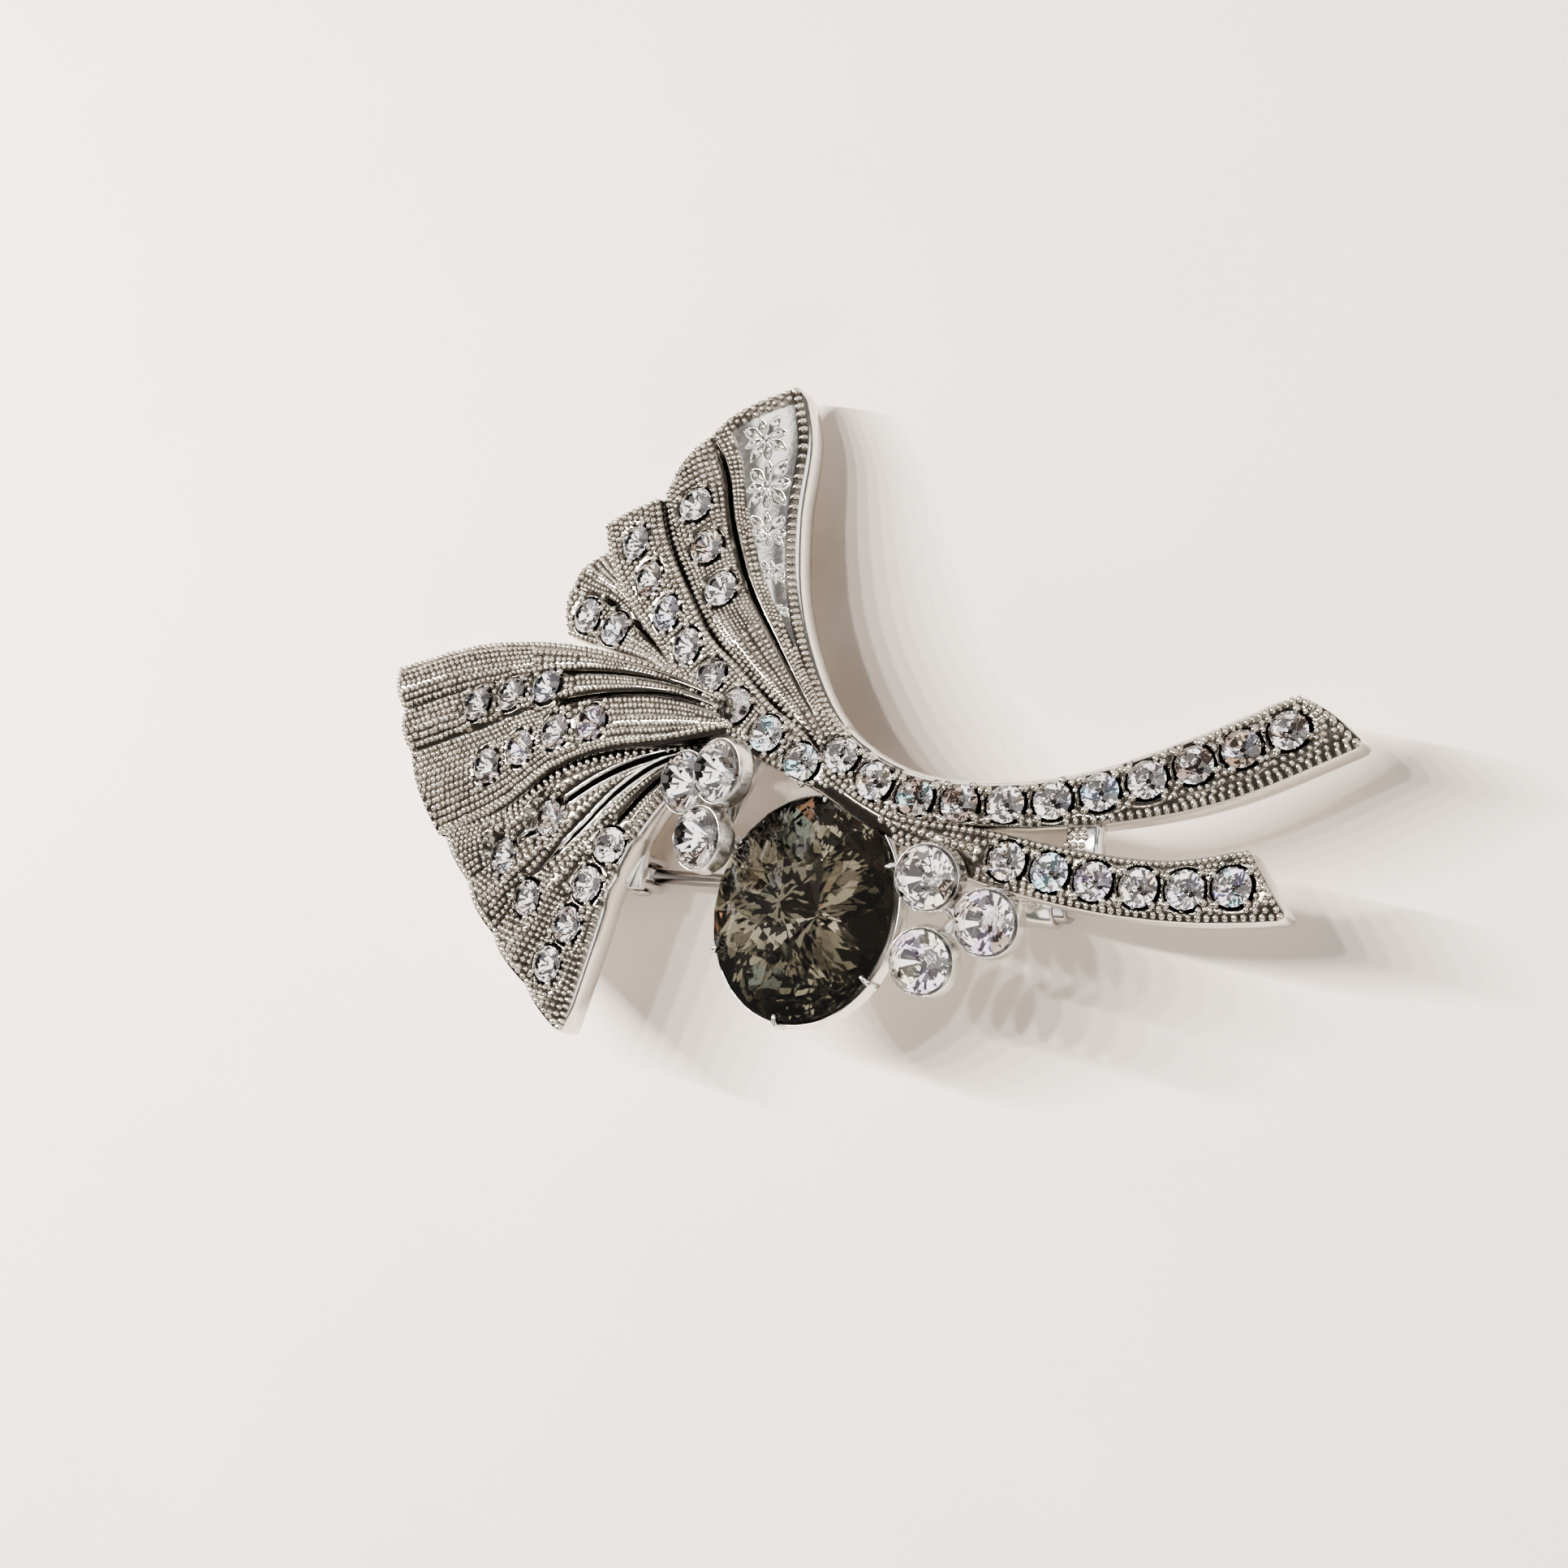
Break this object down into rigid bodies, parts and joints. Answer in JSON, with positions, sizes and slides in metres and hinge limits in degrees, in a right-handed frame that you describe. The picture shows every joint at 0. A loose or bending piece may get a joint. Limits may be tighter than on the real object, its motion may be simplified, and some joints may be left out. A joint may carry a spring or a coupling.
{
  "type": "brooch",
  "caption": "Ribbon spray brooch: beaded pleated fans and two tails set with stones, a large round smoky stone, chaton clusters and a hinged pin with a turning safety catch.",
  "frame": {"origin": "middle of the outline, at the level of the surface that the brooch lies on, back down", "axes": "+Z is the side worn outwards, +X runs towards the two tails, +Y towards the tip of the upper fan"},
  "size_m": [0.0686, 0.0428, 0.011],
  "materials": {
    "plated_metal": "bright rhodium-coloured plating",
    "pin_wire": "drawn and polished wire",
    "clear_glass": "foil-backed clear glass, cut and polished",
    "smoky_glass": "foil-backed smoky grey-brown glass, cut and polished"
  },
  "bodies": {
    "brooch": {"upper_tail_stone_1": "clear_glass", "upper_tail_stone_2": "clear_glass", "upper_tail_stone_3": "clear_glass", "upper_tail_stone_4": "clear_glass", "upper_tail_stone_5": "clear_glass", "upper_tail_stone_6": "clear_glass", "upper_tail_stone_7": "clear_glass", "upper_tail_stone_8": "clear_glass", "upper_tail_stone_9": "clear_glass", "upper_tail_stone_10": "clear_glass", "upper_tail_stone_11": "clear_glass", "main_row_stone_1": "clear_glass", "main_row_stone_2": "clear_glass", "main_row_stone_3": "clear_glass", "main_row_stone_4": "clear_glass", "main_row_stone_5": "clear_glass", "main_row_stone_6": "clear_glass", "main_row_stone_7": "clear_glass", "main_row_stone_8": "clear_glass", "lower_tail_stone_1": "clear_glass", "lower_tail_stone_2": "clear_glass", "lower_tail_stone_3": "clear_glass", "lower_tail_stone_4": "clear_glass", "lower_tail_stone_5": "clear_glass", "lower_tail_stone_6": "clear_glass", "upper_fan_stone_1": "clear_glass", "upper_fan_stone_2": "clear_glass", "upper_fan_stone_3": "clear_glass", "back_lobe_stone_1": "clear_glass", "back_lobe_stone_2": "clear_glass", "fan_top_stone_1": "clear_glass", "fan_top_stone_2": "clear_glass", "fan_top_stone_3": "clear_glass", "fan_middle_stone_1": "clear_glass", "fan_middle_stone_2": "clear_glass", "fan_middle_stone_3": "clear_glass", "fan_middle_stone_4": "clear_glass", "fan_edge_stone_1": "clear_glass", "fan_edge_stone_2": "clear_glass", "fan_edge_stone_3": "clear_glass", "fan_edge_stone_4": "clear_glass", "fan_lower_stone_1": "clear_glass", "fan_lower_stone_2": "clear_glass", "fan_pleat_stone_1": "clear_glass", "left_cluster_chaton_1": "clear_glass", "left_cluster_chaton_2": "clear_glass", "left_cluster_chaton_3": "clear_glass", "right_cluster_chaton_1": "clear_glass", "right_cluster_chaton_2": "clear_glass", "right_cluster_chaton_3": "clear_glass", "centre_stone": "smoky_glass", "ribbon_casting": "plated_metal", "centre_setting": "plated_metal", "left_cluster_setting": "plated_metal", "right_cluster_setting": "plated_metal", "hinge_bracket": "plated_metal", "hinge_rivet": "plated_metal", "catch_barrel": "plated_metal"},
    "pin": {"pin_stem": "pin_wire"},
    "catch": {"catch_rotor": "plated_metal"}
  },
  "joints": [
    {"name": "pin_hinge", "type": "hinge", "parent": "brooch", "child": "pin", "pos_m": [-0.0133, -0.0104, 0.0014], "axis": [0.0472, 0.9989, 0], "range_deg": [0, 95]},
    {"name": "catch_turn", "type": "hinge", "parent": "brooch", "child": "catch", "pos_m": [0.0142, -0.0117, 0.0014], "axis": [0.9989, -0.0472, 0], "range_deg": [0, 120]}
  ]
}
